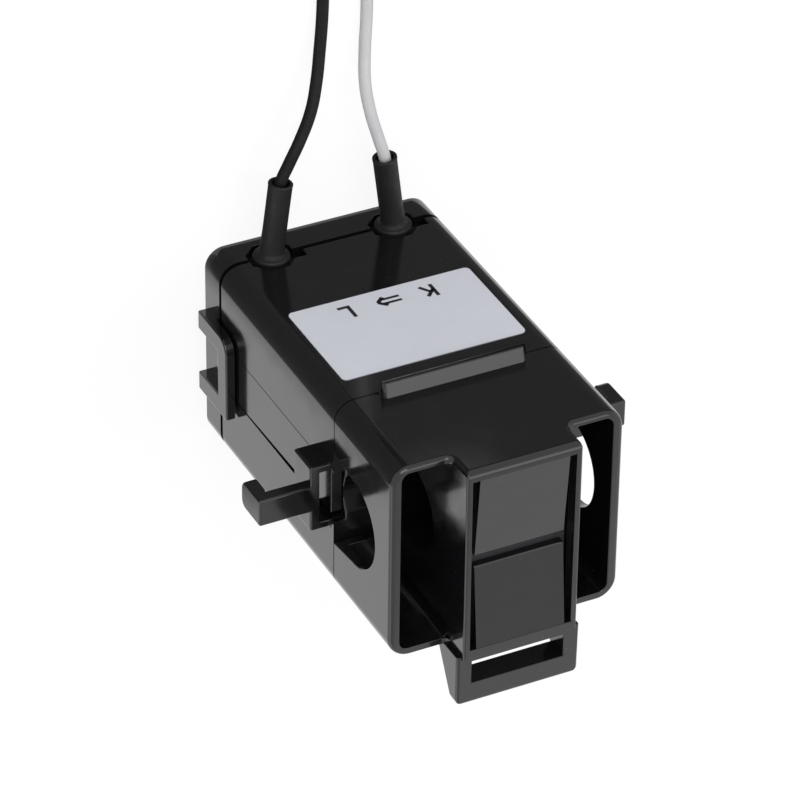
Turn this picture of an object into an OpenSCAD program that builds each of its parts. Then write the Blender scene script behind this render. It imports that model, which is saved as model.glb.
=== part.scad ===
// Split-core current transformer with two lead wires, in millimetres.
// It stands on its rear cover. X runs along the conductor opening, the label faces -Y,
// and the hinged jaw is at the top, with its hinge on the back.

/* [Body] */
// Width along the conductor opening
body_w = 26; // [25:0.5:30]
// Depth from the label face to the back face
body_d = 23.2; // [22.6:0.2:27]
// Height of the parting line between housing and jaw
part_h = 31.4; // [30.8:0.2:36]
// Height of the rear cover
cover_h = 3.7; // [3.6:0.1:4.6]
// Wall of the housing, the cover and the jaw
wall = 1.2; // [1:0.1:1.4]
// Radius of the upright edges
edge_r = 2.2; // [1.8:0.1:3]
// Open seam between the housing and its cover
cover_seam = 0.55; // [0.2:0.05:0.7]
// Open seam between the housing and the jaw
jaw_seam = 0.15; // [0.1:0.05:0.3]
// Play around the locating lip, the latch tongues and the core ends
play = 0.15; // [0.1:0.05:0.2]

/* [Conductor opening] */
// Radius of the largest conductor
bore_r = 5; // [4:0.1:5.2]
// Height of the conductor's axis above the parting line
bore_rise = 4.4; // [4:0.1:5]
// Wall between the conductor and the core
liner_wall = 1; // [0.8:0.1:1.1]

/* [Jaw] */
// Height of the jaw's side walls
jaw_h = 12.85; // [11:0.1:16]
// Width of the raised centre strip
strip_w = 12.9; // [12.5:0.1:14]
// Rise of the centre strip above the side walls
strip_rise = 3.6; // [3:0.1:4.5]
// Wall of the strip beside the core
strip_wall = 0.7; // [0.6:0.05:0.9]
// Label-side and back walls of the open side pockets
pocket_wall = 0.8; // [0.7:0.05:1]
// Slot between a spring flap and the strip's rails
flap_slot = 0.75; // [0.5:0.05:0.9]
// Thickness of a spring flap
flap_t = 0.9; // [0.7:0.05:1.1]
// How far a flap's free end leans in
flap_lean = 0.9; // [0.6:0.05:1.1]
// Gap between the free ends of the two flaps
flap_gap = 1.3; // [0.6:0.1:1.6]
// Concave radius where the strip rises from the side walls
step_r = 0.8; // [0.5:0.1:2]

/* [Thumb ridge and pull loop] */
// Length of the thumb ridge
ridge_l = 16.2; // [12:0.2:18]
// Height of the ridge above the label face
ridge_out = 1.55; // [1.2:0.05:2.2]
// Thickness of the ridge at its foot
ridge_t = 1.3; // [1:0.1:1.8]
// Width of the pull loop
loop_w = 13.9; // [13:0.1:15]
// Reach of the loop beyond the back face
loop_out = 5.9; // [5:0.1:7]
// Width of the loop's side bars
loop_bar = 1.75; // [1.2:0.05:2]
// Depth of the loop's outer bar
loop_end = 2.6; // [1.6:0.05:3]
// Thickness of the loop at its outer edge
loop_t = 1.5; // [1.2:0.1:2]

/* [Tie bridges and posts] */
// Height of a bridge above the side wall
bridge_out = 2.3; // [2:0.1:3]
// Width of a bridge across the spring arm
bridge_w = 7.9; // [7.6:0.1:8.6]
// Length of a bridge along the arm
bridge_l = 3.9; // [3:0.1:5]
// Thickness of a bridge's outer plate
bridge_plate = 1; // [0.8:0.1:1.3]
// Thickness of a bridge's two legs
bridge_leg = 0.9; // [0.8:0.05:1]
// Reach of a tie post beyond the bridge
post_out = 5.7; // [4:0.1:8]
// Width of a tie post
post_w = 3.2; // [2.4:0.1:3.6]
// Thickness of a tie post
post_t = 1.5; // [1.2:0.1:2]
// Length of the post's hooked head
head_l = 4.4; // [3.8:0.1:5.5]
// Thickness of the hooked head
head_t = 1.4; // [1:0.1:2]
// Radius of the head's two free corners
head_r = 1; // [0.5:0.1:1.1]

/* [Spring arms and snap loops] */
// Width of a spring arm in the side wall
arm_w = 5.7; // [5:0.1:5.7]
// Width of the slit on the arm's label side
slit_w = 0.1; // [0.1:0.05:0.3]
// Narrowing of the arm at its free end, on the back side
arm_taper = 0.7; // [0.3:0.1:1]
// Width of a snap loop
snap_w = 9.9; // [9:0.1:11]
// Bar width of a snap loop
snap_bar = 2.2; // [1.6:0.1:2.4]
// Thickness of a snap loop
snap_t = 1; // [0.8:0.1:1.3]
// Radius of a snap loop's free corner on the label side
snap_r = 1.8; // [0.6:0.1:2.2]
// Reach of a snap loop above the cover's seam
snap_reach = 3.75; // [3.65:0.05:5]
// Stand-off of a snap loop from the housing
snap_off = 0.25; // [0.1:0.05:0.3]

/* [Hinge] */
// Radius of the hinge pin
pin_r = 0.6; // [0.5:0.05:0.75]
// Running clearance of the jaw on the pin
pin_play = 0.05; // [0.03:0.01:0.1]
// Wall of a hinge knuckle
knuckle_wall = 0.7; // [0.6:0.05:1]
// Half length of the jaw's middle knuckle
knuckle_mid = 3.9; // [3:0.1:5]
// Length of each housing knuckle
knuckle_l = 4; // [3:0.1:5]
// Gap between knuckles
knuckle_gap = 0.2; // [0.15:0.05:0.3]

/* [Core and winding] */
// Thickness of the fixed core's yoke
core_t = 4.2; // [3.4:0.1:4.2]
// Height of the fixed core's yoke above the base
yoke_h = 14.5; // [14:0.1:16]
// Wall of the bobbin's tube and flanges
bobbin_wall = 0.8; // [0.6:0.1:1]
// Room between the taped winding and the side wall
winding_gap = 1.05; // [0.6:0.05:1.6]
// Thickness of the winding's tape
tape_t = 0.25; // [0.1:0.05:0.3]
// Radius of a terminal pin
terminal_r = 0.35; // [0.3:0.05:0.45]

/* [Label] */
// Width of the label
label_w = 20.8; // [16:0.1:20.9]
// Height of the label
label_h = 13.4; // [8:0.1:14]
// Corner radius of the label
label_r = 0.6; // [0.4:0.1:2]
// Thickness of the label
label_t = 0.1; // [0.1:0.05:0.2]
// Gap between the label and the parting line
label_gap = 3.2; // [2:0.1:4]

/* [Leads] */
// Distance of each lead from the side face beside it
lead_inset = 5.9; // [5.5:0.1:6]
// Radius of a lead
lead_r = 0.65; // [0.5:0.05:0.75]
// Bore radius of a lead bush
bush_bore_r = 0.95; // [0.85:0.05:1]
// Outer radius of the bush's sleeve
sleeve_r = 1.3; // [1.25:0.05:1.6]
// Length of the sleeve beyond the label face
sleeve_l = 8.7; // [6:0.1:12]
// Lean of each sleeve toward the other
sleeve_lean = 7.3; // [0:0.1:10]
// Radius of the bush's outer flange
flange_r = 2; // [1.9:0.05:2.2]
// Thickness of the bush's flanges
flange_t = 0.8; // [0.6:0.1:1]
// Radius of a bare lead tip
tip_r = 0.4; // [0.3:0.05:0.5]

/* [Hidden] */
$fn = 48;
// Overlap that joins solids, and overshoot of cuts
lap = 0.3;
over = 1;

// Heights
housing_z = cover_h + cover_seam;
jaw_z = part_h + jaw_seam;
rim_z = jaw_z + jaw_h;
strip_z = rim_z + strip_rise;
bore_z = part_h + bore_rise;

// Faces and cavities
side_x = body_w / 2;
face_y = body_d / 2;
cavity_x = side_x - wall;
cavity_y = face_y - wall;
strip_x = strip_w / 2;
channel_x = strip_x - strip_wall;

// Core: two U shapes that meet at the parting line, around the liner
limb_gap = 0.2;
liner_y = bore_r + liner_wall;
liner_z = bore_z + bore_r + liner_wall;
core_x = channel_x - play;
limb_out = cavity_y;
limb_in = liner_y + limb_gap;
limb_t = limb_out - limb_in;
flap_under = strip_z - flap_lean - flap_t;

// Winding
tube_x = core_x + bobbin_wall;
winding_t = cavity_x - winding_gap - tape_t - tube_x;
tube_z0 = yoke_h - bobbin_wall;
tube_z1 = yoke_h + core_t + bobbin_wall;
coil_y = limb_in - bobbin_wall;
flange_z = tube_z0 - winding_t - tape_t - bobbin_wall / 2;

// Spring arms and the bridges over them
arm_gap = 0.4;
arm_z = housing_z + snap_reach + arm_gap;
bridge_drop = 0.65;
bridge_z1 = part_h - bridge_drop;
bridge_x = side_x + bridge_out;
// Notch over the arm's end, between the bridge's legs and level with the bridge
notch_w = bridge_w - 2 * bridge_leg;

// Locating lip and snap loops of the cover
lip_t = 0.9;
lip_h = 1.6;
lip_corner = 0.5;
snap_z1 = housing_z + snap_reach;
snap_z0 = cover_h / 4;
tooth_out = 0.8;
tooth_edge = 0.3;
tooth_gap = 0.75;
tooth_side = 0.3;
snap_back_r = 0.3;

// Hinge axis, just behind the back face at the parting line
knuckle_r = pin_r + pin_play + knuckle_wall;
hinge_gap = 0.05;
hinge_y = face_y + knuckle_r + hinge_gap;
hinge_z = part_h + jaw_seam / 2;
knuckle_end = knuckle_mid + knuckle_gap + knuckle_l;

// Latch tongues inside the label-side wall
tongue_w = 3;
tongue_t = 0.8;
tongue_l = 2.2;
tongue_x = (strip_x + cavity_x) / 2;
// Its slot leaves room behind the tongue, which swings inward as the jaw opens
tongue_slot = tongue_t + 3 * play;

// Pull loop: set back from the strip's front, its root below the rim and its web at the back face
loop_setback = 0.4;
loop_drop = 1.2;
loop_root = 0.6;
pocket_floor = 1;
// Shares of the thumb ridge's foot at which its crest starts and ends
ridge_crest = [0.15, 0.56];
// Widening of the opening in the side walls, down to the parting line
bore_flare = 0.5;

// Lead bushes, held in the seam between housing and cover
bush_x = side_x - lead_inset;
bush_z = cover_h + cover_seam / 2;
bush_step = 0.3;
bore_step = 0.2;
flange_step = 0.3;
bush_proud = 0.2;
foot_l = 0.6;
hole_gap = 0.7;
neck_r = flange_r - bush_step;
neck_bore_r = bush_bore_r + bore_step;
hole_r = flange_r + hole_gap;
inner_flange_r = hole_r + flange_step;
// Relief beside each bush's opening
relief_w = 0.8;
relief_h = 1.1;

// Terminals and the diode between them
terminal_y = limb_in - bobbin_wall / 2;
lead_start = -(terminal_y + terminal_r);
diode_wire_r = 0.25;
diode_r = 0.9;
diode_l = 4.6;

// Routes of the leads: X and Y from the sleeve's mouth, and the share of its height that is left
black_free = [
    [-0.9, -1.7, 0.96], [-2.4, -4.2, 0.87], [-3.9, -7, 0.7], [-4.9, -9.8, 0.46], [-5.7, -13.1, 0.19],
    [-6.2, -16.3, 0.04], [-6.4, -19.7, 0], [-6.7, -23.7, 0], [-7.1, -27.7, 0], [-7.4, -31.2, 0],
    [-7.5, -34.7, 0]];
white_free = [
    [0.5, -1.9, 0.93], [1.3, -5.3, 0.76], [1.5, -8.3, 0.49], [1.1, -11.7, 0.19], [0.7, -15.1, 0.04],
    [0.6, -18.2, 0], [0.7, -22.7, 0], [0.9, -27.7, 0], [1, -31.2, 0], [1, -34.7, 0]];
// Coils: the turns go in along the surface and out again on top of them
turn_gap = 0.1;
turn_step = 2 * lead_r + turn_gap;
coil_turns = 5.28;
coil_mean_r = 7.6;
coil_reach = coil_turns / 4 * turn_step;
coil_outer_r = coil_mean_r + coil_reach;
coil_half_w = coil_reach + turn_step / 2;
coil_h = 2 * turn_step - turn_gap;
floor_z = lead_r + turn_gap / 2;
// Route of a tail: X and Y from where it leaves the last turn, and the share of that height that is left
tail_angle = 282;
tail = [[0, 0, 1], [3, -0.1, 0.85], [6.2, -0.5, 0.3], [8.8, -0.9, 0], [11.5, -1.4, 0]];
tip_l = 6;

// Colours
housing_black = "#1e1e20";
core_grey = "#4a4a4e";
bobbin_white = "#d8d4c8";
lead_black = "#333335";
lead_white = "#d5d5d7";

// Solids that repeat

module box(x0, x1, y0, y1, z0, z1) {
    translate([x0, y0, z0]) cube([x1 - x0, y1 - y0, z1 - z0]);
}

module rounded(w, d, r) {
    square([w - 2 * r, d], center = true);
    square([w, d - 2 * r], center = true);
    for (x = [-1, 1], y = [-1, 1])
        translate([x * (w / 2 - r), y * (d / 2 - r)]) circle(r);
}

module slab(w, d, r, z0, z1) {
    translate([0, 0, z0]) linear_extrude(z1 - z0) rounded(w, d, r);
}

// An outline with a square foot, and corners of radius r0 and r1 at its end
module round_end(w, l, r0, r1) {
    translate([-w / 2, 0]) square([w, l - max(r0, r1)]);
    translate([r0 - w / 2, 0]) square([w - r0 - r1, l]);
    translate([-w / 2, 0]) square([r0, l - r0]);
    translate([w / 2 - r1, 0]) square([r1, l - r1]);
    translate([r0 - w / 2, l - r0]) circle(r0);
    translate([w / 2 - r1, l - r1]) circle(r1);
}

// An outline given in Y and Z, extruded along X
module along_x(x0, x1) {
    translate([x0, 0, 0]) rotate([90, 0, 90]) linear_extrude(x1 - x0) children();
}

module rod_x(x0, x1, y, z, r) {
    translate([x0, y, z]) rotate([0, 90, 0]) cylinder(x1 - x0, r, r);
}

module rod_y(x, y0, y1, z, r, sides = 48) {
    translate([x, y0, z]) rotate([-90, 0, 0]) rotate(180 / sides) cylinder(y1 - y0, r, r, $fn = sides);
}

module both_sides() {
    children();
    mirror([1, 0, 0]) children();
}

// U-shaped core half, its poles at pole_z and its yoke from yoke_0 to yoke_1 in height
module core_half(pole_z, yoke_0, yoke_1) {
    z0 = min(pole_z, yoke_0);
    z1 = max(pole_z, yoke_1);
    for (y = [-limb_out, limb_in]) box(-core_x, core_x, y, y + limb_t, z0, z1);
    box(-core_x, core_x, -limb_in - lap, limb_in + lap, yoke_0, yoke_1);
}

// A tube swept along a route, one ring of eight points at each of its points
function unit(v) = v / norm(v);
function heading(p, i) = unit(p[min(i + 1, len(p) - 1)] - p[max(i - 1, 0)]);
function ring(p, i, r) =
    let (t = heading(p, i), a = unit(cross([0, 0, 1], t)), b = cross(t, a))
    [for (k = [0 : 7]) p[i] + r * (cos(45 * k) * a + sin(45 * k) * b)];

module tube(p, r) {
    last = 8 * (len(p) - 1);
    polyhedron(
        points = [for (i = [0 : len(p) - 1]) each ring(p, i, r)],
        faces = concat(
            [[for (k = [0 : 7]) k]],
            [for (i = [0 : len(p) - 2], k = [0 : 7])
                [8 * i + k, 8 * i + 8 + k, 8 * i + 8 + (k + 1) % 8, 8 * i + (k + 1) % 8]],
            [[for (k = [7 : -1 : 0]) last + k]]));
}

// The routes of a lead in its bush, beyond it and in its tail, s = 1 for black and -1 for white
function sleeve_point(s, y) = [s * (bush_x - (y - face_y) * tan(sleeve_lean)), -y, bush_z];
function mouth(s) = sleeve_point(s, face_y + sleeve_l);
function held_route(s) = [
    [s * bush_x, lead_start, bush_z], [s * bush_x, (lead_start - face_y) / 2, bush_z],
    [s * bush_x, -face_y, bush_z],
    sleeve_point(s, face_y + sleeve_l / 2), mouth(s)];
function free_route(s) = [
    for (p = s > 0 ? black_free : white_free)
        [mouth(s)[0] + p[0], mouth(s)[1] + p[1], floor_z + p[2] * (bush_z - floor_z)]];
function last_of(p) = p[len(p) - 1];
function coil_at(s) = last_of(free_route(s)) + [s * coil_outer_r, 0, -floor_z];
function tail_route(s) = [
    for (p = tail)
        coil_at(s) + [s * (coil_outer_r * cos(tail_angle) + p[0]), coil_outer_r * sin(tail_angle) + p[1],
                      floor_z + p[2] * turn_step]];

// Housing

module bridge() {
    difference() {
        box(side_x - lap, bridge_x, -bridge_w / 2, bridge_w / 2, bridge_z1 - bridge_l, bridge_z1);
        box(side_x - over, bridge_x - bridge_plate, -bridge_w / 2 + bridge_leg, bridge_w / 2 - bridge_leg,
            bridge_z1 - bridge_l - over, bridge_z1 + over);
    }
}

// Cable tie post with a hooked head, standing on the bridge parallel to the conductor
module tie_post() {
    end_x = bridge_x + post_out;
    box(bridge_x - lap, end_x, -post_w / 2, post_w / 2, bridge_z1 - post_t, bridge_z1);
    along_x(end_x - head_t, end_x)
        translate([0, bridge_z1]) rotate(180) round_end(post_w, head_l, head_r, head_r);
}

// Wedge that a snap loop hooks over
module catch_tooth() {
    top = snap_z1 - snap_bar - tooth_gap;
    rotate([90, 0, 0]) linear_extrude(snap_w - 2 * (snap_bar + tooth_side), center = true)
        polygon([[side_x - lap, top], [side_x + tooth_out, top], [side_x + tooth_out, top - tooth_edge],
                 [side_x, housing_z], [side_x - lap, housing_z]]);
}

// Slits that free the spring arm in the side wall, beside it and behind its end
module arm_slits() {
    end_z = part_h + over;
    box(cavity_x - play, side_x + over, -arm_w / 2 - slit_w, -arm_w / 2, arm_z, end_z);
    along_x(cavity_x - play, side_x + over)
        polygon([[arm_w / 2 - slit_w, arm_z], [arm_w / 2 + slit_w, arm_z], [arm_w / 2 + slit_w, end_z],
                 [arm_w / 2 - arm_taper, end_z]]);
    box(cavity_x - play, cavity_x, -arm_w / 2 - slit_w, arm_w / 2 + slit_w, part_h - wall - over, end_z);
}

module housing_knuckle() {
    x0 = knuckle_mid + knuckle_gap;
    rod_x(x0, knuckle_end, hinge_y, hinge_z, knuckle_r);
    box(x0, knuckle_end, face_y - lap, hinge_y, hinge_z - knuckle_r, part_h);
}

// Openings for the two bushes, half in the housing and half in the cover
module bush_holes() {
    for (s = [-1, 1]) {
        rod_y(s * bush_x, -face_y - over, -cavity_y, bush_z, hole_r, 8);
        box(s * bush_x - hole_r - relief_w, s * bush_x, -face_y - over, -cavity_y,
            cover_h, housing_z + relief_h);
    }
}

module main_housing() {
    color(housing_black) difference() {
        union() {
            difference() {
                slab(body_w, body_d, edge_r, housing_z, part_h);
                slab(2 * cavity_x, 2 * cavity_y, edge_r - wall, housing_z - over, part_h - wall);
                both_sides() arm_slits();
                both_sides() box(cavity_x - play, side_x + over, -notch_w / 2, notch_w / 2,
                                 bridge_z1, part_h + over);
            }
            both_sides() bridge();
            both_sides() tie_post();
            both_sides() catch_tooth();
            both_sides() housing_knuckle();
        }
        // Core poles, conductor cradle and latch tongues in the top wall
        for (y = [-limb_out, limb_in - play])
            box(-core_x - play, core_x + play, y, y + limb_t + play, part_h - wall - over, part_h + over);
        rod_x(-side_x, side_x, 0, bore_z, bore_r);
        both_sides() box(tongue_x - tongue_w / 2 - play, tongue_x + tongue_w / 2 + play, -cavity_y,
                         -cavity_y + tongue_slot, part_h - wall - over, part_h + over);
        bush_holes();
        rod_x(-knuckle_end - over, knuckle_end + over, hinge_y, hinge_z, pin_r);
    }
}

module snap_loop() {
    half = snap_w / 2;
    window = half - snap_bar;
    difference() {
        along_x(side_x + snap_off, side_x + snap_off + snap_t)
            translate([0, snap_z0]) round_end(snap_w, snap_z1 - snap_z0, snap_r, snap_back_r);
        box(side_x, side_x + over + snap_t, -window, window, snap_z0 - over, snap_z1 - snap_bar);
    }
    for (y = [-half, window])
        box(side_x - lap, side_x + snap_off + lap, y, y + snap_bar, snap_z0, cover_h - lap);
}

module rear_cover() {
    lip_x = cavity_x - play;
    lip_y = cavity_y - play;
    color(housing_black) difference() {
        union() {
            slab(body_w, body_d, edge_r, 0, cover_h);
            slab(2 * lip_x, 2 * lip_y, edge_r - wall, cover_h - lap, cover_h + lip_h);
            both_sides() snap_loop();
        }
        slab(2 * (lip_x - lip_t), 2 * (lip_y - lip_t), lip_corner, wall, cover_h + lip_h + over);
        bush_holes();
        for (s = [-1, 1])
            rod_y(s * bush_x, -cavity_y, -lip_y + lip_t + over, bush_z, inner_flange_r + play);
    }
}

// Jaw

module pocket() {
    w = cavity_x - strip_x;
    translate([strip_x + w / 2, 0, jaw_z + pocket_floor]) linear_extrude(jaw_h)
        rounded(w, body_d - 2 * pocket_wall, edge_r - wall);
}

// Concave step from a pocket wall up to the strip
module step_fillet() {
    for (y = [-face_y, face_y - pocket_wall])
        difference() {
            box(strip_x - lap, strip_x + step_r, y, y + pocket_wall, rim_z - lap, rim_z + step_r);
            rod_y(strip_x + step_r, y - over, y + pocket_wall + over, rim_z + step_r, step_r);
        }
}

// Spring flap from the strip's end bar to the middle, pressing on the core
module flap() {
    root = cavity_y + lap;
    tip = flap_gap / 2;
    along_x(-channel_x + flap_slot, channel_x - flap_slot)
        polygon([[root, strip_z], [tip, strip_z - flap_lean], [tip, flap_under], [root, strip_z - flap_t]]);
}

module thumb_ridge() {
    along_x(-ridge_l / 2, ridge_l / 2)
        polygon([[-face_y + lap, jaw_z], [-face_y + lap, jaw_z + ridge_t], [-face_y, jaw_z + ridge_t],
                 [-face_y - ridge_out, jaw_z + ridge_t * ridge_crest[1]],
                 [-face_y - ridge_out, jaw_z + ridge_t * ridge_crest[0]],
                 [-face_y, jaw_z]]);
}

module pull_loop() {
    outer = face_y + loop_out;
    front = strip_z - loop_setback;
    root = rim_z - loop_drop;
    difference() {
        along_x(-loop_w / 2, loop_w / 2)
            polygon([[face_y - lap, front], [outer, front], [outer, front - loop_t],
                     [face_y + loop_root, root], [face_y - lap, root]]);
        box(-loop_w / 2 + loop_bar, loop_w / 2 - loop_bar, face_y + loop_root, outer - loop_end,
            root - over, strip_z + over);
    }
}

module jaw_knuckle() {
    rod_x(-knuckle_mid, knuckle_mid, hinge_y, hinge_z, knuckle_r);
    box(-knuckle_mid, knuckle_mid, face_y - lap, hinge_y, jaw_z, hinge_z + knuckle_r);
}

module latch_tongue() {
    y = -cavity_y + play;
    box(tongue_x - tongue_w / 2, tongue_x + tongue_w / 2, y, y + tongue_t, part_h - tongue_l, jaw_z + lap);
}

module jaw_housing() {
    color(housing_black) {
        difference() {
            union() {
                difference() {
                    slab(body_w, body_d, edge_r, jaw_z, rim_z);
                    both_sides() pocket();
                }
                box(-strip_x, strip_x, -face_y, face_y, jaw_z, strip_z);
                both_sides() step_fillet();
                thumb_ridge();
                pull_loop();
                jaw_knuckle();
            }
            // Core channel around the liner, then the conductor opening down to the parting line
            difference() {
                box(-channel_x, channel_x, -cavity_y, cavity_y, jaw_z - over, strip_z + over);
                box(-strip_x, strip_x, -liner_y, liner_y, jaw_z - 2 * over, liner_z);
            }
            rod_x(-side_x - over, side_x + over, 0, bore_z, bore_r);
            box(-side_x - over, side_x + over, -bore_r, bore_r, jaw_z - over, bore_z);
            both_sides() along_x(strip_x, side_x + over)
                polygon([[-bore_r, bore_z], [bore_r, bore_z], [bore_r + bore_flare, jaw_z],
                         [bore_r + bore_flare, jaw_z - over], [-bore_r - bore_flare, jaw_z - over],
                         [-bore_r - bore_flare, jaw_z]]);
            rod_x(-knuckle_mid - over, knuckle_mid + over, hinge_y, hinge_z, pin_r + pin_play);
        }
        flap();
        mirror([0, 1, 0]) flap();
        both_sides() latch_tongue();
    }
}

module hinge_pin() {
    color("#b8b8bc") rod_x(-knuckle_end, knuckle_end, hinge_y, hinge_z, pin_r);
}

// Core and winding

module fixed_core() {
    color(core_grey) core_half(part_h, yoke_h, yoke_h + core_t);
}

module moving_core() {
    color(core_grey) core_half(jaw_z, liner_z, flap_under);
}

module coil_bobbin() {
    flange_x = tube_x + winding_t + tape_t + bobbin_wall / 2;
    color(bobbin_white) difference() {
        union() {
            box(-tube_x, tube_x, -coil_y - lap, coil_y + lap, tube_z0, tube_z1);
            for (y = [-limb_in, coil_y])
                box(-min(flange_x, cavity_x), min(flange_x, cavity_x), y, y + bobbin_wall,
                    flange_z, tube_z1 + tube_z0 - flange_z);
        }
        box(-core_x, core_x, -limb_in - over, limb_in + over, yoke_h, yoke_h + core_t);
    }
}

// Rectangular ring around the bobbin's tube, from in_t to out_t outside it
module coil_ring(in_t, out_t) {
    difference() {
        box(-tube_x - out_t, tube_x + out_t, -coil_y, coil_y, tube_z0 - out_t, tube_z1 + out_t);
        box(-tube_x - in_t, tube_x + in_t, -coil_y - over, coil_y + over, tube_z0 - in_t, tube_z1 + in_t);
    }
}

module secondary_winding() {
    color("#a8643a") coil_ring(0, winding_t);
}

module winding_tape() {
    color("#c8a94a") coil_ring(winding_t, winding_t + tape_t);
}

// Terminal pin under the bobbin's label-side flange, where a lead is soldered
module terminal(s) {
    color("#c9b26a") translate([s * bush_x, -terminal_y, bush_z - lead_r])
        cylinder(flange_z - bush_z + lead_r, terminal_r, terminal_r);
}

module start_terminal() {
    terminal(1);
}

module finish_terminal() {
    terminal(-1);
}

// Voltage-limiting diode across the two terminals
module protection_diode() {
    diode_z = (bush_z + lead_r + flange_z) / 2;
    wire_x = bush_x - terminal_r;
    color("#2a2a2e") {
        rod_x(-wire_x, wire_x, -terminal_y, diode_z, diode_wire_r);
        rod_x(-diode_l / 2, diode_l / 2, -terminal_y, diode_z, diode_r);
    }
}

module rating_label() {
    z = part_h - label_gap - label_h / 2;
    color("#c6c8d2") translate([0, -face_y, z]) rotate([90, 0, 0]) linear_extrude(label_t)
        rounded(label_w, label_h, label_r);
}

// Leads

module lead_bush(s) {
    color("#2b2b2c") difference() {
        union() {
            rod_y(s * bush_x, -cavity_y, -cavity_y + flange_t, bush_z, inner_flange_r);
            rod_y(s * bush_x, -face_y, -cavity_y + lap, bush_z, neck_r);
            rod_y(s * bush_x, -face_y - bush_proud, -face_y - bush_proud + flange_t, bush_z, flange_r);
            translate([s * bush_x, -face_y, bush_z]) rotate([0, 0, -s * sleeve_lean]) {
                rod_y(0, -sleeve_l / cos(sleeve_lean), 0, 0, sleeve_r);
                translate([0, -foot_l, 0]) rotate([-90, 0, 0]) cylinder(foot_l, sleeve_r, flange_r);
            }
        }
        rod_y(s * bush_x, -face_y - lap, -cavity_y + flange_t + over, bush_z, neck_bore_r);
        translate([s * bush_x, -face_y, bush_z]) rotate([0, 0, -s * sleeve_lean])
            rod_y(0, -sleeve_l / cos(sleeve_lean) - over, 0, 0, bush_bore_r);
    }
}

module black_lead_bush() {
    lead_bush(1);
}

module white_lead_bush() {
    lead_bush(-1);
}

module lead(s) {
    tube(concat(held_route(s), free_route(s)), lead_r);
}

module lead_coil(s) {
    translate(coil_at(s)) rotate_extrude()
        translate([coil_mean_r - coil_half_w, 0]) square([2 * coil_half_w, coil_h]);
}

// Bare tip beyond the end of a tail
module lead_tip(s) {
    route = tail_route(s);
    end = last_of(route);
    step = tip_l / 2 * heading(route, len(route) - 1);
    color("#b9bcc0") tube([end, end + step, end + 2 * step], tip_r);
}

module black_lead() {
    color(lead_black) lead(1);
}

module black_lead_coil() {
    color(lead_black) lead_coil(1);
}

module black_lead_tail() {
    color(lead_black) tube(tail_route(1), lead_r);
}

module black_lead_tip() {
    lead_tip(1);
}

module white_lead() {
    color(lead_white) lead(-1);
}

module white_lead_coil() {
    color(lead_white) lead_coil(-1);
}

module white_lead_tail() {
    color(lead_white) tube(tail_route(-1), lead_r);
}

module white_lead_tip() {
    lead_tip(-1);
}

main_housing();
rear_cover();
jaw_housing();
hinge_pin();
fixed_core();
moving_core();
coil_bobbin();
secondary_winding();
winding_tape();
start_terminal();
finish_terminal();
protection_diode();
rating_label();
black_lead_bush();
white_lead_bush();
black_lead();
black_lead_coil();
black_lead_tail();
black_lead_tip();
white_lead();
white_lead_coil();
white_lead_tail();
white_lead_tip();
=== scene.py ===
import itertools
import math
import bmesh
import bpy
from mathutils import Matrix, Vector
from mathutils.bvhtree import BVHTree


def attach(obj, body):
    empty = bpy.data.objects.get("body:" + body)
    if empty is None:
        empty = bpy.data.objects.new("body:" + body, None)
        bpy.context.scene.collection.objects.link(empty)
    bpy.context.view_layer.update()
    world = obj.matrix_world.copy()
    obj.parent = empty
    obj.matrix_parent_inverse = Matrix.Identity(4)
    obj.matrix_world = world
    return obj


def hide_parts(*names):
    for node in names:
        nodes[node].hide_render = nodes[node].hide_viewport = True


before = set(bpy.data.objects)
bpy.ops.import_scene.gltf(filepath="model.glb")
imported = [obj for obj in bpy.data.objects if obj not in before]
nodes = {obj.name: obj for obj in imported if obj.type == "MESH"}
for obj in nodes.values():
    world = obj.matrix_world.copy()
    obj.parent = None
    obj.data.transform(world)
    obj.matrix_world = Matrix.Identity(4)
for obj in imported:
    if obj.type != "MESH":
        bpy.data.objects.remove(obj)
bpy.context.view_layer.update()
scene = bpy.context.scene
scene.view_settings.view_transform = "Standard"
mm = 0.001
weld = 0.001 * mm                                        # points nearer than this are one

# camera, found from the photo's edges
cameraSet = {
    "place": (0.18937, -0.29152, 0.39575),
    "forward": (-0.3706, 0.568, -0.7349),
    "up": (-0.2433, -0.823, -0.5134),
    "lens": 221.54,
    "sensor": 36,
    "clip": (0.05, 20),
}


def makeCamera(s):
    data = bpy.data.cameras.new("camera")
    data.lens = s["lens"]
    data.sensor_width = s["sensor"]
    data.clip_start, data.clip_end = s["clip"]
    ahead = Vector(s["forward"]).normalized()
    side = ahead.cross(Vector(s["up"])).normalized()
    above = side.cross(ahead)
    turn = Matrix((side, above, -ahead)).transposed()
    camera = bpy.data.objects.new("camera", data)
    camera.matrix_world = Matrix.Translation(s["place"]) @ turn.to_4x4()
    scene.collection.objects.link(camera)
    scene.camera = camera


makeCamera(cameraSet)
print("camera placed")


# node helpers shared by all materials
def linear(hexColour):
    channels = [int(hexColour[i:i + 2], 16) / 255 for i in (1, 3, 5)]
    return [c / 12.92 if c <= 0.04045 else ((c + 0.055) / 1.055) ** 2.4 for c in channels] + [1]


def addNode(tree, kind, settings=None, links=None):
    node = tree.nodes.new("ShaderNode" + kind)
    for key, value in (settings or {}).items():
        if isinstance(key, str) and hasattr(node, key):
            setattr(node, key, value)
        else:
            node.inputs[key].default_value = value
    for key, socket in (links or {}).items():
        tree.links.new(socket, node.inputs[key])
    return node


def newMaterial(name, settings):
    material = bpy.data.materials.new(name)
    material.use_nodes = True
    shader = material.node_tree.nodes["Principled BSDF"]
    for key, value in settings.items():
        shader.inputs[key].default_value = value
    place = addNode(material.node_tree, "TexCoord")
    return material, material.node_tree, shader, place.outputs["Object"]


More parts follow.
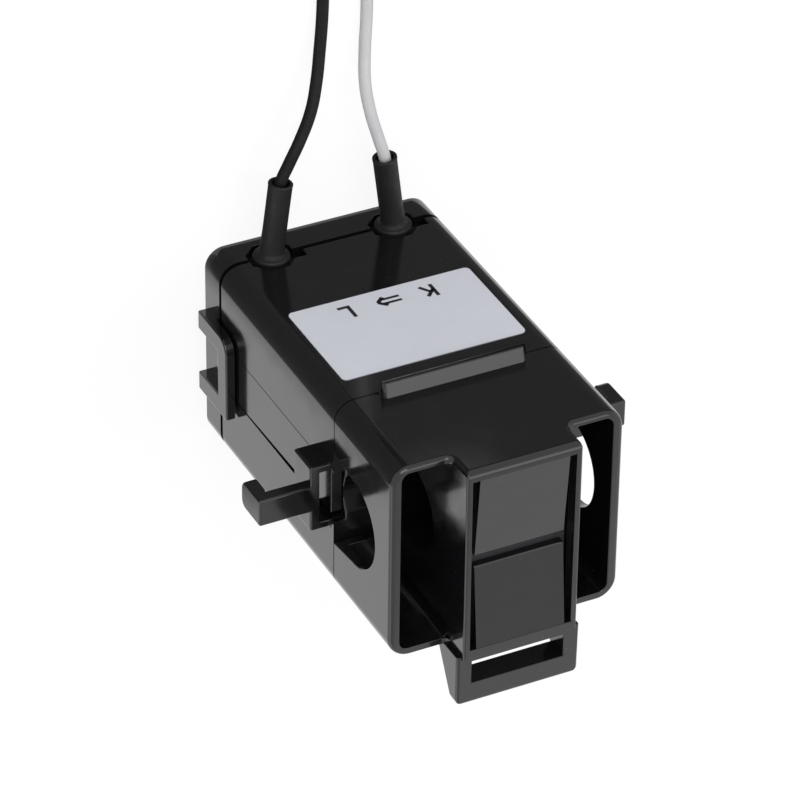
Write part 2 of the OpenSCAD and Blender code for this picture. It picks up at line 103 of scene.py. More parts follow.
# a speckle of two colours, a roughness range and a bump, each on its own pattern
patternSet = {"tintDetail": 3, "wearDetail": 4, "wearSpan": (0.3, 0.7), "grainDetail": 2}


def finishSurface(tree, shader, place, s):
    p = patternSet
    tint = addNode(tree, "TexNoise", {"Scale": 1 / s["tintSize"], "Detail": p["tintDetail"]},
                   {"Vector": place})
    blend = addNode(tree, "MixRGB", {"Color1": linear(s["dark"]), "Color2": linear(s["light"])},
                    {"Fac": tint.outputs["Fac"]})
    worn = addNode(tree, "TexNoise", {"Scale": 1 / s["wearSize"], "Detail": p["wearDetail"]},
                   {"Vector": place})
    rough = addNode(tree, "MapRange", {"From Min": p["wearSpan"][0], "From Max": p["wearSpan"][1],
                                       "To Min": s["rough"][0], "To Max": s["rough"][1]},
                    {"Value": worn.outputs["Fac"]})
    grain = addNode(tree, "TexNoise", {"Scale": 1 / s["grainSize"], "Detail": p["grainDetail"]},
                    {"Vector": place})
    bump = addNode(tree, "Bump", {"Strength": s["bump"], "Distance": s["relief"]},
                   {"Height": grain.outputs["Fac"]})
    tree.links.new(blend.outputs["Color"], shader.inputs["Base Color"])
    tree.links.new(rough.outputs["Result"], shader.inputs["Roughness"])
    tree.links.new(bump.outputs["Normal"], shader.inputs["Normal"])
    return blend, bump


# injection moulded nylon: deep black gloss, with a slow ripple from the mould and fine dust
def mouldedNylon():
    s = {
        "dark": "#0f0f11", "light": "#151517", "tintSize": 3 * mm,
        "rough": (0.1, 0.17), "wearSize": 2.5 * mm,
        "grainSize": 0.35 * mm, "bump": 0.12, "relief": 0.01 * mm,   # grain drawn coarser than real, to show
        "dustSize": 1.3 * mm, "dustShare": 0.035, "dustStrength": 0.5, "dust": "#8d8d90",
    }
    material, tree, shader, place = newMaterial("mouldedBlackNylon", {"IOR": 1.53})
    blend, bump = finishSurface(tree, shader, place, s)
    cells = addNode(tree, "TexVoronoi", {"Scale": 1 / s["dustSize"]}, {"Vector": place})
    speck = addNode(tree, "MapRange", {"From Min": s["dustShare"], "From Max": s["dustShare"] / 2},
                    {"Value": cells.outputs["Distance"]})
    faint = addNode(tree, "Math", {"operation": "MULTIPLY", 1: s["dustStrength"]},
                    {0: speck.outputs["Result"]})
    dusted = addNode(tree, "MixRGB", {"Color2": linear(s["dust"])},
                     {"Fac": faint.outputs["Value"], "Color1": blend.outputs["Color"]})
    tree.links.new(dusted.outputs["Color"], shader.inputs["Base Color"])
    return material


# soft rubber sleeve: dull dark grey with a fine powdery grain
def sleeveRubber():
    s = {
        "dark": "#0e0e0f", "light": "#151516", "tintSize": 0.9 * mm,
        "rough": (0.5, 0.68), "wearSize": 0.8 * mm,
        "grainSize": 0.12 * mm, "bump": 0.25, "relief": 0.01 * mm,
    }
    base = {"IOR": 1.52, "Specular IOR Level": 0.35}
    material, tree, shader, place = newMaterial("mouldedBlackRubber", base)
    finishSurface(tree, shader, place, s)
    return material


# extruded wire insulation: satin, with faint handling marks
def wireInsulation(name, dark, light, rough, gloss):
    s = {
        "dark": dark, "light": light, "tintSize": 1.6 * mm,
        "rough": rough, "wearSize": 1.2 * mm,
        "grainSize": 0.2 * mm, "bump": 0.1, "relief": 0.01 * mm,
    }
    material, tree, shader, place = newMaterial(name, {"IOR": 1.54, "Specular IOR Level": gloss})
    finishSurface(tree, shader, place, s)
    return material


# printed polyester film: cool pale grey, nearly matte
def labelFilm():
    s = {
        "dark": "#d2d4dd", "light": "#d9dbe4", "tintSize": 4 * mm,
        "rough": (0.42, 0.5), "wearSize": 3 * mm,
        "grainSize": 0.25 * mm, "bump": 0.06, "relief": 0.005 * mm,
    }
    material, tree, shader, place = newMaterial("paleGreyPolyesterFilm", {"IOR": 1.57})
    finishSurface(tree, shader, place, s)
    return material


# printed ink: a thin soft black, slightly uneven
def printInk():
    s = {
        "dark": "#15151a", "light": "#202026", "tintSize": 0.3 * mm,
        "rough": (0.4, 0.55), "wearSize": 0.5 * mm,
        "grainSize": 0.1 * mm, "bump": 0.05, "relief": 0.002 * mm,
    }
    material, tree, shader, place = newMaterial("blackPrintInk", {"IOR": 1.5})
    finishSurface(tree, shader, place, s)
    return material


# tinned copper strands: bright grey metal with dull patches
def tinnedCopper():
    s = {
        "dark": "#8f9196", "light": "#b9bcc0", "tintSize": 0.4 * mm,
        "rough": (0.25, 0.45), "wearSize": 0.3 * mm,
        "grainSize": 0.08 * mm, "bump": 0.1, "relief": 0.004 * mm,
    }
    material, tree, shader, place = newMaterial("tinnedCopperStrand", {"Metallic": 1})
    finishSurface(tree, shader, place, s)
    return material


# pieces inside and the hinge pin: name, darker and lighter colour, roughness, metallic, bump
insideFinish = {
    "hinge_pin": ("drawnSteelWire", "#8c8c90", "#a8a8ac", (0.22, 0.38), 1, 0.15),             # bright grey
    "fixed_core": ("groundFerrite", "#202023", "#2c2c2f", (0.5, 0.75), 0, 0.3),               # dull charcoal
    "moving_core": ("groundFerrite", "#202023", "#2c2c2f", (0.5, 0.75), 0, 0.3),
    "coil_bobbin": ("naturalNylon", "#cfc8b4", "#ddd6c4", (0.4, 0.55), 0, 0.15),              # satin cream
    "secondary_winding": ("enamelledCopperWire", "#8a4420", "#a85a30", (0.25, 0.4), 1, 0.6),  # red metal
    "winding_tape": ("yellowPolyesterTape", "#b48a2c", "#c79c3a", (0.2, 0.32), 0, 0.1),       # warm gloss
    "start_terminal": ("tinnedBrassPin", "#a9a493", "#c2bda9", (0.25, 0.4), 1, 0.1),          # pale metal
    "finish_terminal": ("tinnedBrassPin", "#a9a493", "#c2bda9", (0.25, 0.4), 1, 0.1),
    "protection_diode": ("mouldedEpoxy", "#19191b", "#242427", (0.45, 0.6), 0, 0.25),         # flat black
}


def insideMaterial(name, dark, light, rough, metallic, bump):
    s = {
        "dark": dark, "light": light, "tintSize": 0.8 * mm, "rough": rough, "wearSize": 1.5 * mm,
        "grainSize": 0.2 * mm, "bump": bump, "relief": 0.02 * mm,
    }
    material, tree, shader, place = newMaterial(name, {"Metallic": metallic})
    finishSurface(tree, shader, place, s)
    return material


def finishInside():
    made = {}
    for node, words in insideFinish.items():
        if words[0] not in made:
            made[words[0]] = insideMaterial(*words)
        nodes[node].data.materials.clear()
        nodes[node].data.materials.append(made[words[0]])


nylon = mouldedNylon()
rubber = sleeveRubber()
blackPvc = wireInsulation("extrudedBlackPvc", "#0c0c0d", "#131314", (0.56, 0.7), 0.2)
whitePvc = wireInsulation("extrudedWhitePvc", "#c9c9cb", "#d4d4d6", (0.34, 0.5), 0.5)
film = labelFilm()
ink = printInk()
tinned = tinnedCopper()
finishInside()
print("materials made")


def addPiece(name, data, material):
    piece = bpy.data.objects.new(name, data)
    data.materials.append(material)
    scene.collection.objects.link(piece)
    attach(piece, "housing")
    return piece


def meshFrom(name, bm, smoothAngle=35):
    mesh = bpy.data.meshes.new(name)
    bm.to_mesh(mesh)
    bm.free()
    mesh.shade_smooth()
    mesh.set_sharp_from_angle(angle=math.radians(smoothAngle))
    return mesh


# leads: the same routes as the solids, in millimetres, side 1 is black and -1 is white
leadSet = {
    "radius": 0.65, "faceY": 11.6, "bushX": 7.1, "bushZ": 3.975, "sleeve": 8.7, "lean": math.radians(7.3),
    "startY": -6.15, "bushY": -8.9, "turnGap": 0.1, "coilMean": 7.6, "sweep": math.radians(1902),
    "startAngle": math.pi, "pointsPerTurn": 16, "climb": math.radians(120), "tipLength": 6,
    "ringSteps": 5, "runSteps": 5,
    "blackFree": [
        (-0.9, -1.7, 0.96), (-2.4, -4.2, 0.87), (-3.9, -7, 0.7), (-4.9, -9.8, 0.46), (-5.7, -13.1, 0.19),
        (-6.2, -16.3, 0.04), (-6.4, -19.7, 0), (-6.7, -23.7, 0), (-7.1, -27.7, 0), (-7.4, -31.2, 0),
        (-7.5, -34.7, 0)],
    "whiteFree": [
        (0.5, -1.9, 0.93), (1.3, -5.3, 0.76), (1.5, -8.3, 0.49), (1.1, -11.7, 0.19), (0.7, -15.1, 0.04),
        (0.6, -18.2, 0), (0.7, -22.7, 0), (0.9, -27.7, 0), (1, -31.2, 0), (1, -34.7, 0)],
    "tail": [(3, -0.1, 0.85), (6.2, -0.5, 0.3), (8.8, -0.9, 0), (11.5, -1.4, 0)],
}


def sleevePoint(s, side, out):
    return Vector((side * (s["bushX"] - out * math.tan(s["lean"])), -s["faceY"] - out, s["bushZ"]))


def coilSizes(s):
    step = 2 * s["radius"] + s["turnGap"]
    reach = s["sweep"] / (2 * math.pi) / 4 * step
    return step, s["coilMean"] + reach, s["coilMean"] - reach


def leadRoute(s, side):
    step, outer, inner = coilSizes(s)
    floorZ = s["radius"] + s["turnGap"] / 2
    points = [Vector((side * s["bushX"], y, s["bushZ"])) for y in (s["startY"], s["bushY"], -s["faceY"])]
    points += [sleevePoint(s, side, s["sleeve"] / 2), sleevePoint(s, side, s["sleeve"])]
    mouth = points[-1]
    for x, y, share in s["blackFree"] if side > 0 else s["whiteFree"]:
        points.append(Vector((mouth.x + x, mouth.y + y, floorZ + share * (s["bushZ"] - floorZ))))
    centre = points[-1] + Vector((side * outer, 0, 0))
    # in along the surface, up at the inside, and out again on top
    count = round(s["sweep"] / (2 * math.pi) * s["pointsPerTurn"])
    for i in range(1, count + 1):
        turned = s["sweep"] * i / count
        half = s["sweep"] / 2
        radius = inner + (outer - inner) * abs(turned - half) / half
        rise = min(max((turned - half) / s["climb"] + 0.5, 0), 1)
        angle = s["startAngle"] + turned
        points.append(centre + Vector((side * radius * math.cos(angle), radius * math.sin(angle),
                                       step * rise * rise * (3 - 2 * rise))))
    leave = points[-1] - Vector((0, 0, step))
    for x, y, share in s["tail"]:
        points.append(leave + Vector((side * x, y, share * step)))
    return [p * mm for p in points], centre * mm, mouth * mm


def makeLead(name, points, s, material):
    data = bpy.data.curves.new(name, "CURVE")
    data.dimensions = "3D"
    data.bevel_depth = s["radius"] * mm
    data.bevel_resolution = s["ringSteps"]
    data.resolution_u = s["runSteps"]
    data.use_fill_caps = True
    spline = data.splines.new("BEZIER")
    spline.bezier_points.add(len(points) - 1)
    for knot, point in zip(spline.bezier_points, points):
        knot.co = point
        knot.handle_left_type = "AUTO"
        knot.handle_right_type = "AUTO"
    return addPiece(name, data, material), spline.calc_length()


# twisted strands of a stripped tip: one core strand and a ring around it
tipSet = {
    "strand": 0.13, "ring": 0.26, "count": 6, "twists": 1.6, "points": 28, "inside": 0.5,
    "ringSteps": 2,
}


def makeTip(name, points, s, length, material):
    end = points[-1]
    ahead = (points[-1] - points[-2]).normalized()
    across = ahead.cross(Vector((0, 0, 1))).normalized()
    above = across.cross(ahead)
    data = bpy.data.curves.new(name, "CURVE")
    data.dimensions = "3D"
    data.bevel_depth = s["strand"] * mm
    data.bevel_resolution = s["ringSteps"]
    data.use_fill_caps = True
    for k in range(s["count"] + 1):
        ring = s["ring"] * mm if k else 0
        spline = data.splines.new("POLY")
        spline.points.add(s["points"] - 1)
        for i, knot in enumerate(spline.points):
            share = i / (s["points"] - 1)
            angle = 2 * math.pi * (k / s["count"] + s["twists"] * share)
            along = (share * (length + s["inside"]) - s["inside"]) * mm
            spot = end + ahead * along + (across * math.cos(angle) + above * math.sin(angle)) * ring
            knot.co = (*spot, 1)
    return addPiece(name, data, material)


# a film tie round the turns of a coil, with its ends twisted together on top
tieSet = {
    "width": 3, "film": 0.04, "inset": 0.02, "corner": 0.6, "cornerSteps": 5, "endFacing": 0.9,
    "twistLength": 7, "twistWidth": 1.3, "twistFilm": 0.25, "twistTurns": 1.5, "twistSteps": 28,
    "twistAt": 0.55, "angle": math.radians(20),
}


def makeTie(name, centre, s, lead, material):
    step, outer, inner = coilSizes(lead)
    low = (inner - lead["radius"] - s["film"]) * mm
    high = (outer + lead["radius"] + s["film"]) * mm
    top = (2 * step + lead["turnGap"]) * mm
    base = s["inset"] * mm
    bm = bmesh.new()
    # the band: a box without its two open ends, rounded along its corners
    box = bmesh.ops.create_cube(bm, size=1)["verts"]
    bmesh.ops.scale(bm, vec=(high - low, s["width"] * mm, top - base), verts=box)
    bmesh.ops.translate(bm, vec=((low + high) / 2, 0, (top + base) / 2), verts=box)
    ends = [f for f in bm.faces if abs(f.normal.y) > s["endFacing"]]
    bmesh.ops.delete(bm, geom=ends, context="FACES_ONLY")
    corners = [e for e in bm.edges if not e.is_boundary]
    bmesh.ops.bevel(bm, geom=corners, offset=s["corner"] * mm, segments=s["cornerSteps"], profile=0.5,
                    affect="EDGES", material=-1)
    bmesh.ops.recalc_face_normals(bm, faces=bm.faces)
    bmesh.ops.solidify(bm, geom=bm.faces[:], thickness=s["film"] * mm)
    # the twist: a narrow strip turned about its length, made at the coil's centre, clear of the band
    strip = bmesh.ops.create_cube(bm, size=1)["verts"]
    bmesh.ops.scale(bm, vec=(s["twistLength"] * mm, s["twistWidth"] * mm, s["twistFilm"] * mm), verts=strip)
    long = [e for e in bm.edges if e.verts[0] in strip and abs(e.verts[0].co.x - e.verts[1].co.x) > mm]
    bmesh.ops.subdivide_edges(bm, edges=long, cuts=s["twistSteps"], use_grid_fill=True)
    middle = Vector((low + (high - low) * s["twistAt"], 0, top + s["twistWidth"] / 2 * mm))
    reach = s["twistLength"] / 2 * mm
    for v in (v for v in bm.verts if v.co.x < reach + weld):
        angle = math.pi * s["twistTurns"] * v.co.x / reach
        v.co = Matrix.Rotation(angle, 3, "X") @ v.co + middle
    bmesh.ops.rotate(bm, cent=(0, 0, 0), matrix=Matrix.Rotation(s["angle"], 3, "Z"), verts=bm.verts)
    bmesh.ops.translate(bm, vec=(centre.x, centre.y, 0), verts=bm.verts)
    return addPiece(name, meshFrom(name, bm), material)


def makeLeads(s):
    for side, colour, material in ((1, "black", blackPvc), (-1, "white", whitePvc)):
        points, centre, mouth = leadRoute(s, side)
        lead, length = makeLead(colour + "LeadWire", points, s, material)
        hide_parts(colour + "_lead", colour + "_lead_coil", colour + "_lead_tail")
        tip = makeTip(colour + "LeadStrands", points, tipSet, s["tipLength"], tinned)
        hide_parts(colour + "_lead_tip")
        tie = makeTie(colour + "CoilTie", centre, tieSet, s, rubber)
        print(colour, "lead", round(length, 4), "m")


makeLeads(leadSet)


# mouldings: copies of the solids with their open edges rounded as a mould leaves them
mouldSet = {
    "segments": 3, "sharp": math.radians(28), "flat": math.radians(0.6),
    "endShare": 0.15, "endInset": 0.2 * mm,              # how near an edge's ends its room is measured
    "skin": 0.02 * mm, "clear": 0.1 * mm, "far": 40 * mm, "facing": 0.5,
    "outerShare": 0.72, "evenShare": 0.36, "innerShare": 0.2,   # a rounding's share of the narrower face
    "sideShare": 0.9, "smallStep": 0.55 * mm,            # the room that the edges at its ends leave
    "grade": 0.8, "fade": 0.05 * mm,                     # how fast it changes along a bend
    "innerRound": 0.15 * mm, "seam": 0.6 * mm, "least": 0.03 * mm,
    "bend": math.radians(40), "blend": math.radians(40), "wide": 12 * mm ** 2,
    "pieces": {
        "housingShell": {"node": "main_housing", "body": "housing", "round": 0.25 * mm, "open": 40 * mm},
        "rearLid": {"node": "rear_cover", "body": "housing", "round": 0.2 * mm, "open": 40 * mm},
        "jawShell": {"node": "jaw_housing", "body": "jaw", "round": 0.85 * mm, "open": 2 * mm},
    },
}


def solidTree(names):
    bm = bmesh.new()
    for name in names:
        bm.from_mesh(nodes[name].data)
    tree = BVHTree.FromBMesh(bm)
    bm.free()
    return tree


# the lengths of the real edges that leave one end of an edge sideways
def sideLengths(edge, vert, s):
    lengths = []
    along = edge.other_vert(vert).co - vert.co
    for near in vert.link_edges:
        turn = along.angle(near.other_vert(vert).co - vert.co)
        if s["bend"] < turn < math.pi - s["bend"] and near.calc_face_angle(0) > s["sharp"]:
            lengths.append(near.calc_length())
    return lengths


# an edge's rounding: none inside a cavity, beside a seam or at a small step, little on an edge that
# faces a wall, and never more than there is room for beside the roundings across from it
def roundingOf(edge, tree, s, piece):
    a, b = (v.co for v in edge.verts)
    length = edge.calc_length()
    outward = (edge.link_faces[0].normal + edge.link_faces[1].normal).normalized()
    end = min(s["endShare"], s["endInset"] / length)
    ends = [sideLengths(edge, vert, s) for vert in edge.verts]
    if all(ends) and length < s["smallStep"]:
        return 0
    outerRoom = min([side * s["sideShare"] for side in ends[0] + ends[1]] + [piece["round"]])
    innerRoom = s["innerRound"]
    inner = False
    for station in (end, 0.5, 1 - end):
        spot = a.lerp(b, station)
        if tree.ray_cast(spot + outward * s["skin"], outward, piece["open"])[0]:
            return 0
        for loop in edge.link_loops:
            inward = edge.calc_tangent(loop)
            lift = loop.face.normal * s["skin"]
            faced = tree.ray_cast(spot + inward * s["clear"] + lift, loop.face.normal, s["far"])
            inner = inner or faced[0] is not None
            if faced[0] and faced[3] < s["seam"]:
                return 0
            for level in (lift, -lift):
                place, normal, _, width = tree.ray_cast(spot + inward * s["skin"] + level, inward, s["far"])
                if place and abs(normal.dot(inward)) > s["facing"]:
                    free = normal.dot(inward) > 0 and not tree.ray_cast(place + inward * s["skin"], inward)[0]
                    outerRoom = min(outerRoom, width * (s["evenShare"] if free else s["outerShare"]))
                    innerRoom = min(innerRoom, width * s["innerShare"])
    size = innerRoom if inner else outerRoom
    return size if size > s["least"] else 0


# along edges that go on from each other the rounding changes only as fast as their bend allows
def evenOut(bm, sizes, s):
    changed = False
    for vert in bm.verts:
        for a, b in itertools.permutations([e for e in vert.link_edges if e in sizes], 2):
            turn = (a.other_vert(vert).co - vert.co).angle(vert.co - b.other_vert(vert).co)
            step = s["grade"] * min(a.calc_length(), b.calc_length()) * math.sin(turn)
            limit = max(sizes[b], s["fade"]) + step
            if turn < s["bend"] and sizes[a] > limit + weld:
                sizes[a] = limit
                changed = True
    return changed


# the area of the flat region that each face belongs to, and that region's number
def flatRegions(bm, s):
    areas, owners = [], {}
    for first in bm.faces:
        if first in owners:
            continue
        owners[first] = len(areas)
        region = [first]
        for face in region:
            near = {f for edge in face.edges for f in edge.link_faces if f not in owners}
            level = [f for f in near if f.normal.angle(first.normal, math.pi) < s["flat"]]
            owners.update((f, len(areas)) for f in level)
            region += level
        areas.append(sum(face.calc_area() for face in region))
    return areas, owners


# wide flat regions keep their own normals, and the roundings between them blend from one to the next
def blendedNormals(bm, s):
    areas, owners = flatRegions(bm, s)
    normals = []
    for face in bm.faces:
        own = areas[owners[face]]
        for vert in (loop.vert for loop in face.loops):
            mean = Vector()
            for near in vert.link_faces:
                area = areas[owners[near]]
                apart = owners[near] != owners[face] and min(area, own) > s["wide"]
                if not apart and near.normal.angle(face.normal, math.pi) < s["blend"]:
                    mean += near.normal * area ** 2
            normals.append(mean.normalized())
    return normals


def makeMoulding(name, s, piece, tree):
    bm = bmesh.new()
    bm.from_mesh(nodes[piece["node"]].data)
    bmesh.ops.remove_doubles(bm, verts=bm.verts, dist=weld)
    bmesh.ops.dissolve_limit(bm, angle_limit=s["flat"], verts=bm.verts, edges=bm.edges)
    bmesh.ops.triangulate(bm, faces=bm.faces, quad_method="BEAUTY", ngon_method="BEAUTY")
    bm.normal_update()
    weight = bm.edges.layers.float.new("bevel_weight_edge")
    edges = [e for e in bm.edges if e.is_manifold and e.is_convex and e.calc_face_angle() > s["sharp"]]
    sizes = {e: roundingOf(e, tree, s, piece) for e in edges}
    while evenOut(bm, sizes, s):
        pass
    for edge, size in sizes.items():
        edge[weight] = size / piece["round"]
    rounded = sum(1 for size in sizes.values() if size)
    shell = bpy.data.objects.new(name, meshFrom(name, bm))
    shell.data.materials.append(nylon)
    scene.collection.objects.link(shell)
    bevel = shell.modifiers.new("mouldRounding", "BEVEL")
    bevel.limit_method = "WEIGHT"
    bevel.width = piece["round"]
    bevel.segments = s["segments"]
    bevel.use_clamp_overlap = False
    bevel.loop_slide = False
    bm = bmesh.new()
    bm.from_object(shell, bpy.context.evaluated_depsgraph_get())
    shell.modifiers.clear()
    bm.to_mesh(shell.data)
    shell.data.normals_split_custom_set(blendedNormals(bm, s))
    bm.free()
    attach(shell, piece["body"])
    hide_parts(piece["node"])
    print(name, rounded, "edges rounded")


def makeMouldings(s):
    tree = solidTree([piece["node"] for piece in s["pieces"].values()])
    for name, piece in s["pieces"].items():
        makeMoulding(name, s, piece, tree)


makeMouldings(mouldSet)


# rubber bushes: distance out from the label face and radius, from the inner flange to the mouth and back
bushSet = {
    "profile": [
        (-2, 1.15), (-2, 2.85), (-1.9, 3), (-1.2, 3), (-1.2, 1.7), (-0.6, 1.7), (-0.6, 1.95),
        (-0.1, 2), (0.06, 1.98), (0.15, 1.92), (0.2, 1.82), (0.25, 1.66), (0.33, 1.52), (0.5, 1.4),
        (0.8, 1.32), (3, 1.28), (6, 1.28), (8.3, 1.29), (8.55, 1.33), (8.68, 1.32), (8.75, 1.25), (8.77, 1.1),
        (8.7, 0.98), (8.5, 0.95), (1, 0.95), (0, 1.1), (-0.3, 1.15)],
    "steps": 48, "bendOver": 1.2, "smoothAngle": 50,
}


def makeBush(name, node, s, lead, side):
    bm = bmesh.new()
    ring = [bm.verts.new((radius * mm, -out * mm, 0)) for out, radius in s["profile"]]
    chain = [bm.edges.new((ring[i - 1], ring[i])) for i in range(len(ring))]
    bmesh.ops.spin(bm, geom=ring + chain, cent=(0, 0, 0), axis=(0, 1, 0), angle=2 * math.pi, steps=s["steps"],
                   use_merge=True)
    bmesh.ops.remove_doubles(bm, verts=bm.verts, dist=weld)
    bmesh.ops.recalc_face_normals(bm, faces=bm.faces)
    # lean the sleeve toward its neighbour
    for v in bm.verts:
        share = min(max(-v.co.y / mm / s["bendOver"], 0), 1)
        v.co = Matrix.Rotation(-side * lead["lean"] * share, 3, "Z") @ v.co
    spot = sleevePoint(lead, side, 0) * mm
    bmesh.ops.translate(bm, vec=spot, verts=bm.verts)
    piece = addPiece(name, meshFrom(name, bm, s["smoothAngle"]), rubber)
    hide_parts(node)


makeBush("blackLeadSleeve", "black_lead_bush", bushSet, leadSet, 1)
makeBush("whiteLeadSleeve", "white_lead_bush", bushSet, leadSet, -1)
print("bushes made")


# label: the solid's film, and the polarity mark printed on it
nodes["rating_label"].data.materials.clear()
nodes["rating_label"].data.materials.append(film)
markSet = {
    "face": -11.7, "ink": 0.01, "baseline": 16.06, "height": 2.25,
    "stroke": 0.42, "line": 0.36, "headStroke": 0.46,
    "letterK": -5.51, "letterL": 3.96, "letterWidth": 1.5,
    "armFoot": 0.4, "legStart": (0.3, 0.6), "footWidth": 0.95,      # shares of a letter's width and height
    "arrowTip": 1.06, "arrowHead": 0.22, "arrowTail": -1.52, "arrowMiddle": 16.97,
    "headHalf": 0.78, "shaft": 0.38,
}


# a printed stroke between two points of the label, X and Z in millimetres
def addStroke(bm, a, b, width, s):
    start, end = Vector(a), Vector(b)
    along = end - start
    bar = bmesh.ops.create_cube(bm, size=1)["verts"]
    bmesh.ops.scale(bm, vec=(along.length, s["ink"], width), verts=bar)
    turn = Matrix.Rotation(-math.atan2(along.y, along.x), 3, "Y")
    bmesh.ops.rotate(bm, cent=(0, 0, 0), matrix=turn, verts=bar)
    middle = (start + end) / 2
    bmesh.ops.translate(bm, vec=(middle.x, s["face"], middle.y), verts=bar)


def makePolarityMark(s):
    bm = bmesh.new()
    low = s["baseline"]
    high = low + s["height"]
    half = s["stroke"] / 2
    barK = s["letterK"] + half
    rightK = s["letterK"] + s["letterWidth"]
    legX, legZ = s["legStart"]
    addStroke(bm, (barK, low), (barK, high), s["stroke"], s)
    addStroke(bm, (barK, low + s["height"] * s["armFoot"]), (rightK - half, high - half), s["stroke"], s)
    legTop = (barK + s["letterWidth"] * legX, low + s["height"] * legZ)
    addStroke(bm, legTop, (rightK, low + half / 2), s["stroke"], s)
    barL = s["letterL"] + half
    rightL = s["letterL"] + s["letterWidth"] * s["footWidth"]
    addStroke(bm, (barL, low), (barL, high), s["stroke"], s)
    addStroke(bm, (barL, low + half), (rightL, low + half), s["stroke"], s)
    tip = (s["arrowTip"], s["arrowMiddle"])
    for up in (-1, 1):
        z = s["arrowMiddle"] + up * s["shaft"]
        addStroke(bm, (s["arrowTail"], z), (s["arrowHead"] + s["line"], z), s["line"], s)
        back = (s["arrowHead"], s["arrowMiddle"] + up * s["headHalf"])
        addStroke(bm, back, tip, s["headStroke"], s)
    bmesh.ops.scale(bm, vec=(mm, mm, mm), verts=bm.verts)
    addPiece("polarityMark", meshFrom("polarityMark", bm), ink)


makePolarityMark(markSet)
print("label printed")


# studio: a white floor, soft lamps, and three cards that only reflections see
studioSet = {
    "floor": 4, "white": "#f4f4f4", "paper": 0.82, "paperGlow": 1.06, "worldFill": 0.55,
    "lamps": {
        "backLamp": {"place": (-0.2, 0.5, 0.47), "size": (0.9, 0.17), "watts": 0.238},
        "keyLamp": {"place": (0.16, -0.42, 0.55), "size": (0.4, 0.4), "watts": 1.6},
        "topLamp": {"place": (-0.222, -0.04, 0.59), "size": (0.35, 0.35), "watts": 0.58},
        "sideLamp": {"place": (0.3, 0.25, 0.14), "size": (0.35, 0.2), "watts": 0.22},
    },
    "aim": (0, 0, 0.025),
    "cards": {
        "blackFlag": {"box": ((-0.2, -0.16), (0.2, -0.012)), "glow": (0.18, 0.18), "lift": 0.02 * mm},
        "nearBounce": {"box": ((0.0125, -0.012), (0.3, 0.4)), "glow": (0.18, 1.2), "lift": 0.02 * mm},
        "farBounce": {"box": ((0.037, 0.02), (0.3, 0.4)), "glow": (1.2, 1.2), "lift": 0.04 * mm},
    },
    "fadeAcross": (-1.53, 1, 0), "fadeFrom": -0.0318, "fadeTo": -0.0272,   # from the label side to the back
}


def seenDirectly(tree):
    path = addNode(tree, "LightPath")
    first = addNode(tree, "Math", {"operation": "ADD"},
                    {0: path.outputs["Is Camera Ray"], 1: path.outputs["Is Glossy Ray"]})
    return addNode(tree, "Math", {"operation": "ADD", "use_clamp": True},
                   {0: first.outputs["Value"], 1: path.outputs["Is Transmission Ray"]}).outputs["Value"]


# matte paper, lifted to white where it is seen, so that only a faint shadow stays
def paperFloor(s):
    material = bpy.data.materials.new("whiteStudioPaper")
    material.use_nodes = True
    tree = material.node_tree
    tree.nodes.remove(tree.nodes["Principled BSDF"])
    matte = addNode(tree, "BsdfDiffuse", {"Color": linear(s["white"])})
    glow = addNode(tree, "Emission", {"Strength": s["paperGlow"]})
    lifted = addNode(tree, "MixShader", {"Fac": s["paper"]},
                     {1: matte.outputs["BSDF"], 2: glow.outputs["Emission"]})
    both = addNode(tree, "MixShader", {}, {"Fac": seenDirectly(tree), 1: matte.outputs["BSDF"],
                                           2: lifted.outputs["Shader"]})
    tree.links.new(both.outputs["Shader"], tree.nodes["Material Output"].inputs["Surface"])
    return material


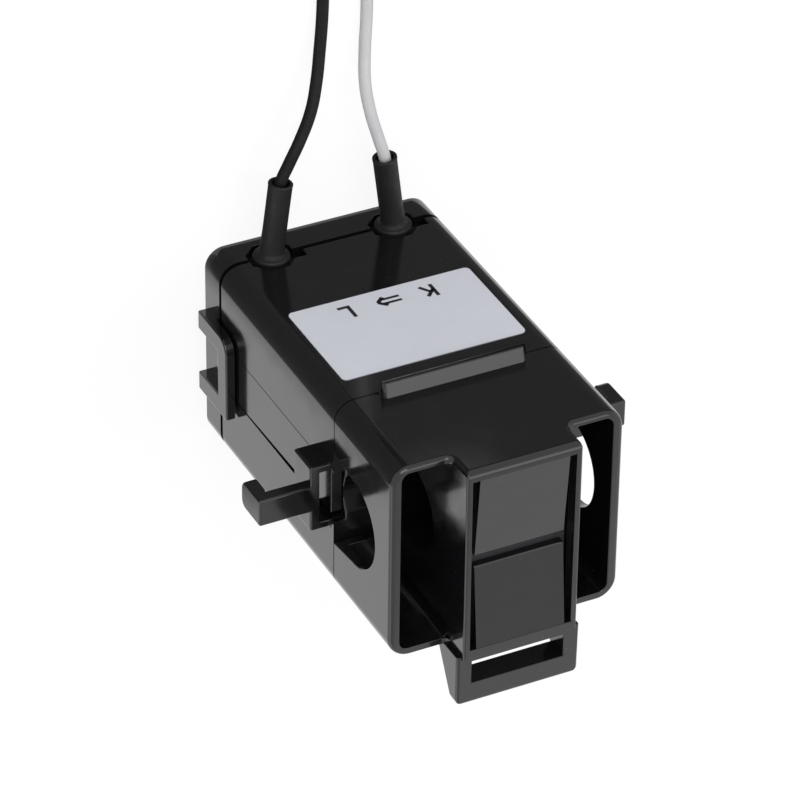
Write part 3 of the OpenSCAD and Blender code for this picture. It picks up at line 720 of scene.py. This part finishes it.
def makeCard(name, s, card):
    (x0, y0), (x1, y1) = card["box"]
    bm = bmesh.new()
    sheet = bmesh.ops.create_grid(bm, x_segments=1, y_segments=1, size=0.5)["verts"]
    bmesh.ops.scale(bm, vec=(x1 - x0, y1 - y0, 1), verts=sheet)
    bmesh.ops.translate(bm, vec=((x0 + x1) / 2, (y0 + y1) / 2, card["lift"]), verts=sheet)
    material = bpy.data.materials.new(name)
    material.use_nodes = True
    tree = material.node_tree
    tree.nodes.remove(tree.nodes["Principled BSDF"])
    place = addNode(tree, "TexCoord")
    across = addNode(tree, "VectorMath", {"operation": "DOT_PRODUCT", 1: s["fadeAcross"]},
                     {0: place.outputs["Object"]})
    level = addNode(tree, "MapRange", {"From Min": s["fadeFrom"], "From Max": s["fadeTo"],
                                       "To Min": card["glow"][0], "To Max": card["glow"][1]},
                    {"Value": across.outputs["Value"]})
    glow = addNode(tree, "Emission", {}, {"Strength": level.outputs["Result"]})
    tree.links.new(glow.outputs["Emission"], tree.nodes["Material Output"].inputs["Surface"])
    board = bpy.data.objects.new(name, meshFrom(name, bm))
    board.data.materials.append(material)
    scene.collection.objects.link(board)
    board.visible_camera = False
    board.visible_diffuse = False
    board.visible_transmission = False
    board.visible_shadow = False


def makeLamp(name, s, aim):
    data = bpy.data.lights.new(name, "AREA")
    data.shape = "RECTANGLE"
    data.size, data.size_y = s["size"]
    data.energy = s["watts"]
    lamp = bpy.data.objects.new(name, data)
    away = Vector(s["place"]) - Vector(aim)
    lamp.matrix_world = Matrix.Translation(s["place"]) @ away.to_track_quat("Z", "Y").to_matrix().to_4x4()
    scene.collection.objects.link(lamp)
    lamp.visible_camera = False


def makeStudio(s):
    world = bpy.data.worlds.new("whiteStudio")
    scene.world = world
    world.use_nodes = True
    tree = world.node_tree
    level = addNode(tree, "MapRange", {"To Min": s["worldFill"], "To Max": 1}, {"Value": seenDirectly(tree)})
    tree.nodes["Background"].inputs["Color"].default_value = (1, 1, 1, 1)
    tree.links.new(level.outputs["Result"], tree.nodes["Background"].inputs["Strength"])
    bm = bmesh.new()
    bmesh.ops.create_grid(bm, x_segments=1, y_segments=1, size=s["floor"] / 2)
    floor = bpy.data.objects.new("floor", meshFrom("floor", bm))
    floor.data.materials.append(paperFloor(s))
    scene.collection.objects.link(floor)
    for name, card in s["cards"].items():
        makeCard(name, s, card)
    for name, lamp in s["lamps"].items():
        makeLamp(name, lamp, s["aim"])


makeStudio(studioSet)
print("studio lit")
